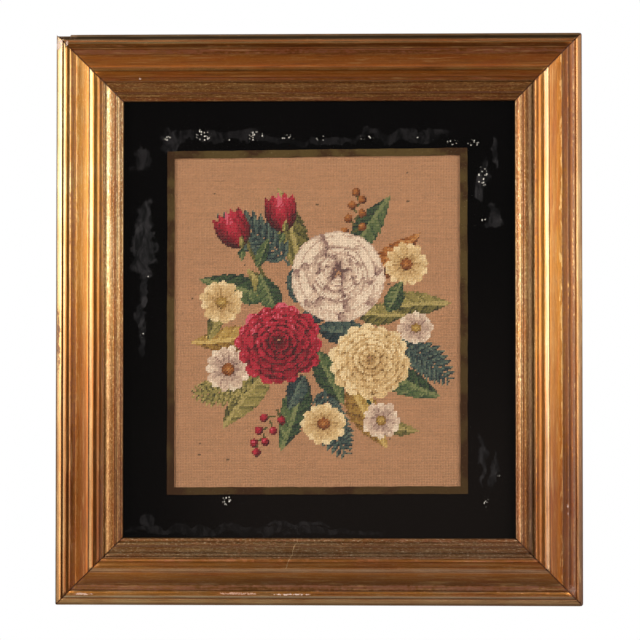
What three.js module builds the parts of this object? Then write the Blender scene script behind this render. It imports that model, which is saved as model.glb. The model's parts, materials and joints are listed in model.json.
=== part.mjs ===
// A needlepoint picture in a gilt wooden frame, as it hangs on a wall. All sizes are in millimetres.
// +Z is up and the picture faces -Y. The origin is on the frame's back, at the middle of the top rail,
// where the picture hangs. "Inward" is the distance from the frame's outer edge towards its middle,
// and "height" is the distance in front of the wall.
import * as THREE from 'three';

// The frame over all, and the gap that separate pieces keep.
const FRAME_WIDTH = 593;
const FRAME_HEIGHT = 644;
const PIECE_GAP = 0.3;
const ARC_STEPS = 10;

// The outer moulding: its plain side, its rebate for the liner, and its front from the edge inwards.
const OUTER_SIDE_HEIGHT = 35.5;
const OUTER_REBATE_START = 47;
const OUTER_REBATE_HEIGHT = 26.5;
const OUTER_FRONT = [
  { member: 'eased edge', run: 2.4, rise: 2.5, bulge: 0.45 },
  { member: 'outer bead', run: 4.9, rise: 2.1, bulge: 0.5 },
  { member: 'quirk wall', run: 0.2, rise: -1.2, bulge: 0 },
  { member: 'quirk', run: 0.7, rise: 0, bulge: 0 },
  { member: 'roll wall', run: 0.2, rise: 0.5, bulge: 0 },
  { member: 'outer roll, outer flank', run: 2.6, rise: 1.4, bulge: 0.2 },
  { member: 'outer roll, top', run: 4, rise: 0.1, bulge: 0.35 },
  { member: 'outer roll, inner flank', run: 2.3, rise: -1.5, bulge: 0.3 },
  { member: 'roll foot', run: 0.3, rise: -0.8, bulge: 0 },
  { member: 'flat', run: 5, rise: -0.3, bulge: 0 },
  { member: 'arris', run: 0.5, rise: -0.7, bulge: 0.1 },
  { member: 'broad slope', run: 13.5, rise: -5.8, bulge: 0.7 },
  { member: 'inner roll, outer flank', run: 4.2, rise: 1.9, bulge: 0.3 },
  { member: 'inner roll, top', run: 3.6, rise: 0.1, bulge: 0.35 },
  { member: 'inner roll, inner flank', run: 4.1, rise: -2.1, bulge: 0.4 },
  { member: 'fillet wall', run: 0.3, rise: -1, bulge: 0 },
  { member: 'fillet', run: 2.2, rise: -0.3, bulge: 0 },
  { member: 'fillet edge', run: 1.2, rise: -1.3, bulge: 0.2 },
];

// The liner, a narrower moulding seated behind the outer moulding's lip, and its front.
const LINER_INNER_EDGE = 73.9;
const LINER_QUIRK = 53;
const LINER_REBATE_START = 67.5;
const LINER_REBATE_HEIGHT = 15.9;
const LINER_FRONT = [
  { member: 'quirk', run: 0.6, rise: -2.2, bulge: 0 },
  { member: 'quirk rise', run: 0.1, rise: 1.4, bulge: 0 },
  { member: 'broad reed', run: 4.4, rise: -1.6, bulge: 0.6 },
  { member: 'hollow', run: 5.7, rise: -1.2, bulge: -0.4 },
  { member: 'groove wall', run: 0.2, rise: -1.2, bulge: 0 },
  { member: 'groove', run: 1.8, rise: 0, bulge: 0 },
  { member: 'groove rise', run: 0.2, rise: 0.8, bulge: 0 },
  { member: 'reed', run: 3.4, rise: -1.1, bulge: 0.7 },
  { member: 'sight quirk', run: 1.5, rise: -1.1, bulge: -0.2 },
  { member: 'sight reed', run: 2.6, rise: -0.6, bulge: 0.5 },
];

// What lies in the liner's rebate, from the wall forwards.
const REBATE_CLEARANCE = 1;
const BOARD_BACK_HEIGHT = 3;
const BOARD_THICKNESS = 6;
const NEEDLEWORK_THICKNESS = 2.4;
const PAINT_THICKNESS = 0.3;
const GILT_THICKNESS = 0.25;
const GLASS_THICKNESS = 2.5;
const NEEDLEWORK_WIDTH = 430;
const NEEDLEWORK_HEIGHT = 484;

// The hand-painted border's window, measured from the frame's middle. Its top edge isn't quite level.
const WINDOW = {
  left: -164.4,
  right: 160.4,
  topAtLeft: 183.1,
  topAtRight: 186.5,
  bottomAtLeft: -191.1,
  bottomAtRight: -189.5,
};
const GILT_BAND_WIDTH = 8.5;

const FRAME_MIDDLE_DROP = FRAME_HEIGHT / 2 - OUTER_REBATE_START / 2;

const MATERIALS = {
  gilt: new THREE.MeshStandardMaterial({ color: 0xb07a3c, roughness: 0.35, metalness: 0.9 }),
  linerGilt: new THREE.MeshStandardMaterial({ color: 0xb98a4e, roughness: 0.45, metalness: 0.85 }),
  glass: new THREE.MeshStandardMaterial({
    color: 0xf2f6f4, roughness: 0.03, metalness: 0, transparent: true, opacity: 0.15,
  }),
  blackPaint: new THREE.MeshStandardMaterial({ color: 0x0b0a0b, roughness: 0.2, metalness: 0 }),
  dullGilt: new THREE.MeshStandardMaterial({ color: 0x5c4426, roughness: 0.5, metalness: 0.3 }),
  wool: new THREE.MeshStandardMaterial({ color: 0xb0835f, roughness: 0.95, metalness: 0 }),
  bareWood: new THREE.MeshStandardMaterial({ color: 0x8d6a45, roughness: 0.8, metalness: 0 }),
};

// The points of one moulding member, after its first: a straight line, or an arc whose middle stands
// off the line by bulge, outwards where it is positive and hollow where it is negative.
function memberPoints(start, { run, rise, bulge }) {
  const end = new THREE.Vector2(start.x + run, start.y + rise);
  if (bulge === 0) return [end];
  const half = start.distanceTo(end) / 2;
  const radius = (half * half + bulge * bulge) / (2 * Math.abs(bulge));
  const sweep = 4 * Math.atan(Math.abs(bulge) / half);
  const along = end.clone().sub(start).normalize();
  const out = new THREE.Vector2(-along.y, along.x).multiplyScalar(Math.sign(bulge));
  const middle = start.clone().add(end).multiplyScalar(0.5);
  const centre = middle.addScaledVector(out, Math.abs(bulge) - radius);
  const points = [];
  for (let step = 1; step <= ARC_STEPS; step += 1) {
    const turn = sweep * (step / ARC_STEPS - 0.5);
    points.push(
      centre.clone().addScaledVector(out, radius * Math.cos(turn)).addScaledVector(along, radius * Math.sin(turn)),
    );
  }
  return points;
}

// The points of a whole front, from its first point inwards.
function frontPoints(start, members) {
  const points = [start];
  for (const member of members) {
    points.push(...memberPoints(points[points.length - 1], member));
  }
  return points;
}

// A closed section in (inward, height), turned so that its points run anticlockwise.
function sectionShape(points) {
  const ordered = THREE.ShapeUtils.isClockWise(points) ? [...points].reverse() : points;
  return new THREE.Shape(ordered);
}

function outerSection() {
  const front = frontPoints(new THREE.Vector2(0, OUTER_SIDE_HEIGHT), OUTER_FRONT);
  const lip = front[front.length - 1];
  return sectionShape([
    new THREE.Vector2(0, 0),
    ...front,
    new THREE.Vector2(lip.x, OUTER_REBATE_HEIGHT),
    new THREE.Vector2(OUTER_REBATE_START, OUTER_REBATE_HEIGHT),
    new THREE.Vector2(OUTER_REBATE_START, 0),
  ]);
}

function linerSection() {
  const shoulder = OUTER_REBATE_HEIGHT - PIECE_GAP;
  const outerWall = OUTER_REBATE_START + PIECE_GAP;
  const front = frontPoints(new THREE.Vector2(LINER_QUIRK, shoulder), LINER_FRONT);
  return sectionShape([
    new THREE.Vector2(outerWall, 0),
    new THREE.Vector2(outerWall, shoulder),
    ...front,
    new THREE.Vector2(LINER_INNER_EDGE, LINER_REBATE_HEIGHT),
    new THREE.Vector2(LINER_REBATE_START, LINER_REBATE_HEIGHT),
    new THREE.Vector2(LINER_REBATE_START, 0),
  ]);
}

// One rail of a moulding, with both ends mitred: it runs along X, its outer edge is at Z 0 and its
// front faces -Y.
function mitredRail(section, length) {
  const geometry = new THREE.ExtrudeGeometry(section, { depth: 1, bevelEnabled: false });
  const position = geometry.attributes.position;
  const mitreSetback = PIECE_GAP * Math.SQRT1_2;
  for (let i = 0; i < position.count; i += 1) {
    const inward = position.getX(i);
    const height = position.getY(i);
    const side = position.getZ(i) > 0.5 ? -1 : 1;
    position.setXYZ(i, side * (length / 2 - inward - mitreSetback), -height, -inward);
  }
  geometry.deleteAttribute('uv');
  geometry.computeVertexNormals();
  return geometry;
}

// The four rails of a moulding, each turned about the frame's middle.
function rails(name, section, material) {
  const group = new THREE.Group();
  group.position.z = -FRAME_MIDDLE_DROP;
  const sides = [
    { side: 'top', turn: 0, length: FRAME_WIDTH, reach: FRAME_HEIGHT / 2 },
    { side: 'right', turn: Math.PI / 2, length: FRAME_HEIGHT, reach: FRAME_WIDTH / 2 },
    { side: 'bottom', turn: Math.PI, length: FRAME_WIDTH, reach: FRAME_HEIGHT / 2 },
    { side: 'left', turn: -Math.PI / 2, length: FRAME_HEIGHT, reach: FRAME_WIDTH / 2 },
  ];
  for (const { side, turn, length, reach } of sides) {
    const rail = new THREE.Mesh(mitredRail(section, length), material);
    rail.name = `${name}_${side}`;
    rail.position.set(reach * Math.sin(turn), 0, reach * Math.cos(turn));
    rail.rotation.y = turn;
    group.add(rail);
  }
  return group;
}

// A flat rectangle of the given thickness, whose back is at the given height.
function panel(name, width, tall, thickness, backHeight, material) {
  const mesh = new THREE.Mesh(new THREE.BoxGeometry(width, thickness, tall), material);
  mesh.name = name;
  mesh.position.set(0, -backHeight - thickness / 2, -FRAME_MIDDLE_DROP);
  return mesh;
}

// The window's corners, moved outwards all round by the given margin.
function windowCorners(margin) {
  return [
    new THREE.Vector2(WINDOW.left - margin, WINDOW.bottomAtLeft - margin),
    new THREE.Vector2(WINDOW.right + margin, WINDOW.bottomAtRight - margin),
    new THREE.Vector2(WINDOW.right + margin, WINDOW.topAtRight + margin),
    new THREE.Vector2(WINDOW.left - margin, WINDOW.topAtLeft + margin),
  ];
}

// A thin coat with the window left clear, whose back is at the given height.
function coat(name, outline, thickness, backHeight, material) {
  const shape = new THREE.Shape(outline);
  shape.holes.push(new THREE.Path(windowCorners(0)));
  const geometry = new THREE.ExtrudeGeometry(shape, { depth: thickness, bevelEnabled: false });
  geometry.rotateX(Math.PI / 2);
  const mesh = new THREE.Mesh(geometry, material);
  mesh.name = name;
  mesh.position.set(0, -backHeight, -FRAME_MIDDLE_DROP);
  return mesh;
}

// The backing board, the needlework, the coats on the back of the glass, and the glass, in that order.
function rebateContents() {
  const group = new THREE.Group();
  const inset = 2 * (LINER_REBATE_START + REBATE_CLEARANCE);
  const width = FRAME_WIDTH - inset;
  const tall = FRAME_HEIGHT - inset;
  const needleworkBack = BOARD_BACK_HEIGHT + BOARD_THICKNESS + PIECE_GAP;
  const paintBack = needleworkBack + NEEDLEWORK_THICKNESS + PIECE_GAP;
  const giltBack = paintBack + PAINT_THICKNESS + PIECE_GAP;
  const glassBack = LINER_REBATE_HEIGHT - PIECE_GAP - GLASS_THICKNESS;
  const glassOutline = [
    new THREE.Vector2(-width / 2, -tall / 2),
    new THREE.Vector2(width / 2, -tall / 2),
    new THREE.Vector2(width / 2, tall / 2),
    new THREE.Vector2(-width / 2, tall / 2),
  ];
  group.add(
    panel('backing_board', width, tall, BOARD_THICKNESS, BOARD_BACK_HEIGHT, MATERIALS.bareWood),
    panel(
      'needlework', NEEDLEWORK_WIDTH, NEEDLEWORK_HEIGHT, NEEDLEWORK_THICKNESS, needleworkBack, MATERIALS.wool,
    ),
    coat('painted_border', glassOutline, PAINT_THICKNESS, paintBack, MATERIALS.blackPaint),
    coat('gilt_band', windowCorners(GILT_BAND_WIDTH), GILT_THICKNESS, giltBack, MATERIALS.dullGilt),
    panel('glass_pane', width, tall, GLASS_THICKNESS, glassBack, MATERIALS.glass),
  );
  return group;
}

const picture = new THREE.Group();
picture.add(rails('outer_rail', outerSection(), MATERIALS.gilt));
picture.add(rails('liner_rail', linerSection(), MATERIALS.linerGilt));
picture.add(rebateContents());

export default picture;
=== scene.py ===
"""The looks of a framed needlepoint picture: worn gilt mouldings, old glass with a painted border,
and a bouquet worked in wool tent stitch. Lengths are in metres unless a name says otherwise."""
import json
import math

import bpy
import numpy as np
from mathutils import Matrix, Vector

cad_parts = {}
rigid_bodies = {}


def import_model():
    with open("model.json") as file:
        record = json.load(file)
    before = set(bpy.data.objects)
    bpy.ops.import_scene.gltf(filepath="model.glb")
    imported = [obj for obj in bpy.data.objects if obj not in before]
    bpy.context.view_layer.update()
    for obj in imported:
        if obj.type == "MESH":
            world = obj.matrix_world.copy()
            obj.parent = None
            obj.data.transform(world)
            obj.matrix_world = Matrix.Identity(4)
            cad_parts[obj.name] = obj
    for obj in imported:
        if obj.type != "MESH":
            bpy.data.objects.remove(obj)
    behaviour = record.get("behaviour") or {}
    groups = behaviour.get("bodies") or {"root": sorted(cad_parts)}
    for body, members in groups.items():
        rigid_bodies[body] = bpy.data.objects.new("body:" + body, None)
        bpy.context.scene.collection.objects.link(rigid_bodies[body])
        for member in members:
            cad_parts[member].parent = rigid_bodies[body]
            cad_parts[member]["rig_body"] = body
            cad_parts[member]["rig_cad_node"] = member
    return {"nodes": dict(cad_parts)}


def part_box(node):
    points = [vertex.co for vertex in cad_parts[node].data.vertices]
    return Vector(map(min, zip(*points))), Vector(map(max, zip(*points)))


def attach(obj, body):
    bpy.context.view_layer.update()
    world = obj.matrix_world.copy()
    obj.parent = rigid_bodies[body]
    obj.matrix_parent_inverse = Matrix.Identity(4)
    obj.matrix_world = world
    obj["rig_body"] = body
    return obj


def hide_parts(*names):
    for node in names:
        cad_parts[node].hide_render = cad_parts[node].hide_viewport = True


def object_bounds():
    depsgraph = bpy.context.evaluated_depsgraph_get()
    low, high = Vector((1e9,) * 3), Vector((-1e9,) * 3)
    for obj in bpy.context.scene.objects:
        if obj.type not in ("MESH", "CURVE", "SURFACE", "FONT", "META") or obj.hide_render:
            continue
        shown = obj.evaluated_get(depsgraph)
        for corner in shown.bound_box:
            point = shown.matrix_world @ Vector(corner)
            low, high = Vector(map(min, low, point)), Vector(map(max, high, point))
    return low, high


MM = 0.001

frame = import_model()
cad_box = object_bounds()
nodes = frame["nodes"]
frame_low, frame_high = cad_box
MIDDLE = Vector(((frame_low.x + frame_high.x) / 2, 0, (frame_low.z + frame_high.z) / 2))
HALF_WIDTH = (frame_high.x - frame_low.x) / 2
HALF_HEIGHT = (frame_high.z - frame_low.z) / 2

# The camera, fitted to the corners of the frame, the liner and the painted window.
CAMERA_DISTANCE = 2.3
CAMERA_AZIMUTH = math.radians(1.42)
CAMERA_ELEVATION = math.radians(-1.14)
CAMERA_LENS_MM = 113.1
CAMERA_SHIFT = (0.0013, -0.0008)

# Where the frame is damaged: each place, its x and z from the frame's middle, its reach along both and its
# depth in millimetres, and how much of it shows white gesso and red clay.
DAMAGE = [
    ("broken top corner", -289, 321.5, 17, 4, 0.9, 0.15, 0.4),
    ("chipped left corner", -293, 310.5, 3.6, 5.5, 1.2, 1, 0),
    ("nick by that chip", -284.5, 312, 1.6, 2.4, 0.6, 0.9, 0),
    ("long chip on the bottom rail", -30, -309.2, 17, 0.9, 0.4, 1, 0),
    ("chips near the bottom left", -265, -309.2, 9, 1, 0.4, 0.8, 0),
    ("scuffs beside the long chip", -91, -308.4, 19, 1.1, 0.3, 0.55, 0),
    ("worn bottom corner", 284, -303.5, 4.5, 5, 1, 0.15, 1),
    ("chip on the right roll", 279, -210, 1.1, 2.2, 0.4, 1, 0),
    ("chip below it", 279.5, -218, 0.9, 1.6, 0.3, 0.7, 0),
    ("rubbed left bead", -293, -25, 2.2, 30, 0.2, 0, 0.6),
    ("nick on the top bead", -202, 272.5, 1.4, 1, 0.3, 0.9, 0),
]

# The top rail's left end has lost a strip of its outer edge.
BROKEN_CORNER = {"up_to_x": -281, "inward": 2.6, "drop": 1.5}
# How far each rail reaches into its half of the mitre's gap.
MITRE_CLOSING_MM = 0.14

# How each member of the mouldings is finished, from the outer edge inwards: where it is in millimetres,
# how matt it is, how far it is worn to the red clay, and how orange its gold is.
OUTER_FINISH = [
    (0, 0.4, 0.3, 0.6), (2.2, 0.05, 0.05, 0.0), (7, 0.05, 0.05, 0.1), (7.4, 0.8, 0.6, 1.0),
    (8.3, 0.3, 0.4, 0.8), (9, 0.05, 0.0, 0.0), (10.6, 0.05, 0.0, 0.0), (11.6, 0.1, 0.2, 1.0),
    (14.6, 0.1, 0.2, 1.0), (15.6, 0.05, 0.1, 0.5), (17, 0.2, 0.3, 0.7), (17.7, 0.6, 0.75, 0.9),
    (22.6, 0.5, 0.7, 0.9), (23.6, 0.8, 0.05, 1.0), (36.4, 0.8, 0.0, 1.0), (36.9, 0.0, 0.0, 0.0),
    (40.3, 0.0, 0.0, 0.0), (41.4, 0.05, 0.1, 1.0), (45, 0.3, 0.1, 1.0), (48.3, 0.4, 0.15, 1.0),
    (49, 0.8, 0.7, 1.0), (52.3, 0.4, 0.4, 0.8),
]
LINER_FINISH = [
    (52, 0.8, 0.7, 0.9), (54, 0.5, 0.25, 0.2), (57.8, 0.6, 0.2, 0.3), (59, 0.85, 0.2, 0.5),
    (63, 0.85, 0.25, 0.6), (64.5, 0.9, 0.8, 1.0), (66, 0.8, 0.7, 0.9), (67, 0.5, 0.2, 0.3),
    (69.5, 0.6, 0.35, 0.5), (71, 0.9, 0.7, 0.8), (73.9, 0.7, 0.4, 0.6),
]
# Where the broad slope begins, its edge is rubbed bright in a ragged strip, in millimetres inwards, and
# more on one rail than on another.
RUBBED_EDGE = (22.6, 26.0)
RUBBED = {"top": 0.25, "right": 0.75, "bottom": 0.2, "left": 0.3}
# Painted light and shade on each rail, standing in for how the side lights fall on it: its painted tint,
# and how light its gold is painted, by millimetres from the outer edge.
PAINTED_TINT = {
    "top": [
        (0, 1, 0.95, 0.89), (7, 1, 0.95, 0.89), (12, 1, 0.77, 0.5), (56, 1, 0.77, 0.45), (74, 1, 0.76, 0.4),
    ],
    "right": [
        (0, 1, 0.82, 0.72), (8, 1, 0.86, 0.72), (9.2, 1, 0.97, 0.9), (22, 1, 0.97, 0.84),
        (37, 1, 0.97, 0.84), (38.6, 1, 1, 1.1), (41, 1, 1.12, 1.5), (42.6, 1, 1.3, 2.0),
        (44, 1, 0.97, 0.84), (53, 1, 0.96, 0.84), (55, 1, 0.8, 0.55), (61, 1, 0.8, 0.6),
        (64, 1, 0.98, 0.92), (74, 1, 1, 1),
    ],
    "bottom": [
        (0, 1, 0.84, 0.66), (6, 1, 0.86, 0.74), (8, 1, 1.04, 1.2), (22, 1, 1.0, 1.35), (34, 1, 0.94, 1.1),
        (74, 1, 0.99, 1.02),
    ],
    "left": [(0, 1, 1, 0.88), (74, 1, 1, 0.88)],
}
PAINTED_LIGHT = {
    "top": [
        (0, 2.2), (1.7, 2.3), (2.6, 1.4), (3.5, 0.42), (5.5, 0.48), (7.5, 1.3), (8.5, 2.3), (10.8, 2.3),
        (12.5, 0.6), (17, 0.5), (20, 0.5), (22, 0.4), (24, 0.65), (27, 0.8), (34, 0.7), (36, 1.2),
        (38.5, 2.3), (41, 1), (43, 1.2), (45, 0.95), (47, 0.6), (50, 0.5), (54, 0.8), (58, 0.5), (64, 0.6),
        (70, 0.55), (74, 0.5),
    ],
    "right": [
        (0, 0.8), (1.4, 0.2), (3, 0.26), (4.2, 0.24), (5, 0.4), (6, 1.1), (6.8, 2.3), (8.2, 2.3), (9, 0.6),
        (10.6, 0.9), (12.8, 1.4), (14, 0.8), (15.4, 0.5), (17, 1.1), (17.8, 1.3), (20, 0.7), (21.5, 0.4),
        (22.6, 0.6), (24, 1.8), (27, 1.6), (29, 0.95), (34, 0.72), (35.8, 1.1), (37.2, 2.3), (38.6, 0.8),
        (41, 1.1), (42.6, 2.3), (44, 1.2), (47, 0.95), (49, 1), (50.4, 0.55), (51.7, 2.0), (53.6, 1.0),
        (55.2, 0.3), (57.4, 0.22), (58.8, 0.36), (61, 0.6), (63, 2.3), (65, 2.2), (67.4, 1), (69.8, 2),
        (71.5, 1.7), (74, 0.75),
    ],
    "bottom": [
        (0, 0.6), (1.7, 0.28), (4, 0.72), (5.8, 0.75), (6.8, 1.6), (8.5, 0.5), (11, 0.8), (13, 1.4),
        (15.4, 2.4), (17, 0.8), (18, 0.38), (20, 0.16), (22.2, 0.7), (24, 0.35), (27, 0.42), (30, 0.6),
        (33, 0.8), (35.5, 1.2), (38, 0.75), (44, 1.05), (47.5, 1.3), (49.5, 1.1), (54, 0.75), (60, 0.55),
        (64, 0.55), (66, 0.85), (74, 0.8),
    ],
    "left": [
        (0, 0.3), (1.6, 0.32), (2.6, 0.7), (4.6, 0.9), (5.7, 2.2), (7, 0.85), (14, 0.85), (22, 0.85),
        (24, 1.6), (26, 1.3), (29, 1.0), (34, 0.9), (35.3, 2.2), (37, 0.9), (42, 1), (46, 0.65), (50, 0.6),
        (52, 0.7), (53.6, 2), (56, 1.5), (58.5, 1.4), (60, 1.9), (63, 2.3), (65, 2.6), (66, 1.2),
        (67, 0.85), (74, 0.95),
    ],
}
# Painted light falloff: the uprights are painted darker towards their feet and lighter towards their tops,
# and the level rails darker to one side: millimetres up from the middle, or to its right, and how much of
# each colour is kept.
PAINTED_FALLOFF = {
    "left": [
        (-243, 0.62, 0.49, 0.38), (-187, 0.55, 0.43, 0.33), (-130, 0.63, 0.51, 0.41),
        (-74, 0.81, 0.71, 0.64), (-17, 0.96, 0.90, 0.81), (39, 1.17, 1.22, 1.16), (96, 1.20, 1.32, 1.39),
        (152, 1.3, 1.55, 1.8), (209, 1.24, 1.43, 1.6),
    ],
    "right": [
        (-243, 0.61, 0.51, 0.46), (-187, 0.60, 0.49, 0.42), (-130, 0.78, 0.71, 0.61),
        (-74, 0.95, 0.94, 0.85), (-17, 1.05, 1.09, 1.0), (39, 1.11, 1.18, 1.12), (96, 1.13, 1.22, 1.17),
        (152, 1.08, 1.13, 1.1), (209, 0.95, 0.90, 0.81),
    ],
    "top": [(-200, 1.15, 1.2, 1.3), (-60, 1.04, 1.03, 1.05), (60, 0.98, 0.94, 0.95), (200, 0.92, 0.88, 0.85)],
    "bottom": [(-200, 1.25, 1.3, 1.2), (-110, 1.05, 1.08, 1.0), (200, 1.0, 1.0, 1.0)],
}
# Where one rail is worn further to its clay than the others, by millimetres from the outer edge.
WORN = {
    "right": [(8.3, 0), (9.2, 0.95), (21.5, 0.9), (22.6, 0)],
    "bottom": [(17, 0), (18, 0.2), (22, 0.2), (23, 0)],
}
# Corners that are knocked round: which way each lies from the middle, and its radius in millimetres.
KNOCKED_CORNERS = [(1, -1, 3.4), (1, 1, 2.6), (-1, -1, 1.6)]
# A hairline crack across the bottom rail and its liner, in millimetres from the frame's middle.
CRACK = {"x0": -22.7, "z0": -246.4, "x1": -36.7, "z1": -281.7, "half_width": 0.28}
# How wide the arrises are eased and how sharp an arris is, from what angle edges stay crisp, how far apart
# a rail is cut across, and how far its gilded surface sways.
EASED_MM = 0.22
ARRIS_DEGREES = 38
SMOOTH_DEGREES = 32
CUTS_APART_MM = 9
SWAY_MM = 0.14
# How far in front of the wall each moulding's gilding starts.
FRONT_ABOVE_MM = {"outer": 28.5, "liner": 17}
# The outer moulding's lip over the liner: how far in from the frame's outer edge, and in front of the wall.
LIP_MM = (52.2, 29)
# The most that the painted light and shade may multiply a colour by.
PAINTED_LIGHT_LIMIT = 2.3
# How coarse and how strong the two noises are that make the edge of a worn patch ragged.
PATCH_EDGE = ((260, 1.6), (1100, 1.1))


class Nodes:
    """Short names for the nodes of one tree. A socket's value is a plain value or another node's output."""

    def __init__(self, tree):
        tree.nodes.clear()
        self.tree = tree

    def fill(self, node, sockets):
        for key, value in sockets.items():
            if isinstance(value, bpy.types.NodeSocket):
                self.tree.links.new(value, node.inputs[key])
            else:
                node.inputs[key].default_value = value

    def add(self, kind, sockets=None, **settings):
        node = self.tree.nodes.new("ShaderNode" + kind)
        for name, value in settings.items():
            setattr(node, name, value)
        self.fill(node, sockets or {})
        return node

    def maths(self, operation, first, second=0.0, clamp=False):
        return self.add("Math", {0: first, 1: second}, operation=operation, use_clamp=clamp).outputs[0]

    def plus(self, first, second, clamp=False):
        return self.maths("ADD", first, second, clamp)

    def minus(self, first, second):
        return self.maths("SUBTRACT", first, second)

    def times(self, first, second):
        return self.maths("MULTIPLY", first, second)

    def highest(self, first, second):
        return self.maths("MAXIMUM", first, second)

    def vector(self, operation, first, second=(0, 0, 0), output=0):
        return self.add("VectorMath", {0: first, 1: second}, operation=operation).outputs[output]

    def parts(self, vector):
        """The three numbers of a vector."""
        return self.add("SeparateXYZ", {0: vector}).outputs

    def mixed(self, amount, first, second, **settings):
        """Two colours, each plain or a socket, mixed by an amount from 0 to 1."""
        return self.add("Mix", {0: amount, 6: first, 7: second}, data_type="RGBA", **settings).outputs[2]

    def blended(self, amount, first, second):
        """Two numbers mixed by an amount from 0 to 1."""
        return self.add("Mix", {0: amount, 2: first, 3: second}).outputs[0]

    def step(self, value, low, high, start=0.0, end=1.0):
        """A soft step from start to end, as the value goes from low to high."""
        sockets = {0: value, 1: low, 2: high, 3: start, 4: end}
        return self.add("MapRange", sockets, interpolation_type="SMOOTHSTEP").outputs[0]

    def noise(self, vector, scale, detail=4.0, stretch=None, roughness=0.55, distortion=0.0):
        """Noise with the given number of features to the metre, stretched along each axis if asked."""
        if stretch:
            vector = self.vector("MULTIPLY", vector, stretch)
        names = ("Vector", "Scale", "Detail", "Roughness", "Distortion")
        values = (vector, scale, detail, roughness, distortion)
        return self.add("TexNoise", dict(zip(names, values))).outputs[0]

    def attribute(self, name, output="Fac"):
        return self.add("Attribute", attribute_name=name).outputs[output]

    def object_place(self):
        return self.add("TexCoord").outputs["Object"]

    def bump(self, strength, distance, height):
        return self.add("Bump", {"Strength": strength, "Distance": distance, "Height": height}).outputs[0]

    def patch(self, place, x, z, reach_x, reach_z, ragged):
        """1 inside a ragged oval round a point of the front, given in millimetres from the frame's middle."""
        away = self.vector("SUBTRACT", place, (x * MM, 0, MIDDLE.z + z * MM))
        away = self.vector("MULTIPLY", away, (1 / (reach_x * MM), 0, 1 / (reach_z * MM)))
        distance = self.vector("LENGTH", away, output="Value")
        for scale, amount in PATCH_EDGE:
            edge = self.minus(self.noise(place, scale, 3), 0.5)
            distance = self.plus(distance, self.times(edge, ragged * 2 * amount))
        return self.step(distance, 1.08, 0.88)

    def hairline(self, place, x0, z0, x1, z1, half_width):
        """1 on a thin wandering line between two points of the front, in millimetres from its middle."""
        long = math.hypot(x1 - x0, z1 - z0)
        heading = ((x1 - x0) / long, 0, (z1 - z0) / long)
        aside = (heading[2], 0, -heading[0])
        away = self.vector("SUBTRACT", place, (x0 * MM, 0, MIDDLE.z + z0 * MM))
        along = self.vector("DOT_PRODUCT", away, heading, "Value")
        off = self.vector("DOT_PRODUCT", away, aside, "Value")
        wander = self.times(self.minus(self.noise(place, 130, 4), 0.5), 0.008)
        off = self.maths("ABSOLUTE", self.plus(off, wander))
        within = self.times(self.step(along, 0, MM), self.step(along, long * MM, (long - 1) * MM))
        return self.times(within, self.step(off, half_width * MM * 1.6, half_width * MM * 0.6))


class Finish(Nodes):
    """A material with one Principled shader."""

    def __init__(self, name):
        self.material = bpy.data.materials.new(name)
        self.material.use_nodes = True
        super().__init__(self.material.node_tree)
        self.shader = self.add("BsdfPrincipled")
        self.add("OutputMaterial", {"Surface": self.shader.outputs[0]})

    def done(self, sockets):
        """Sets the shader's sockets, and returns the material."""
        self.fill(self.shader, sockets)
        return self.material


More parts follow.
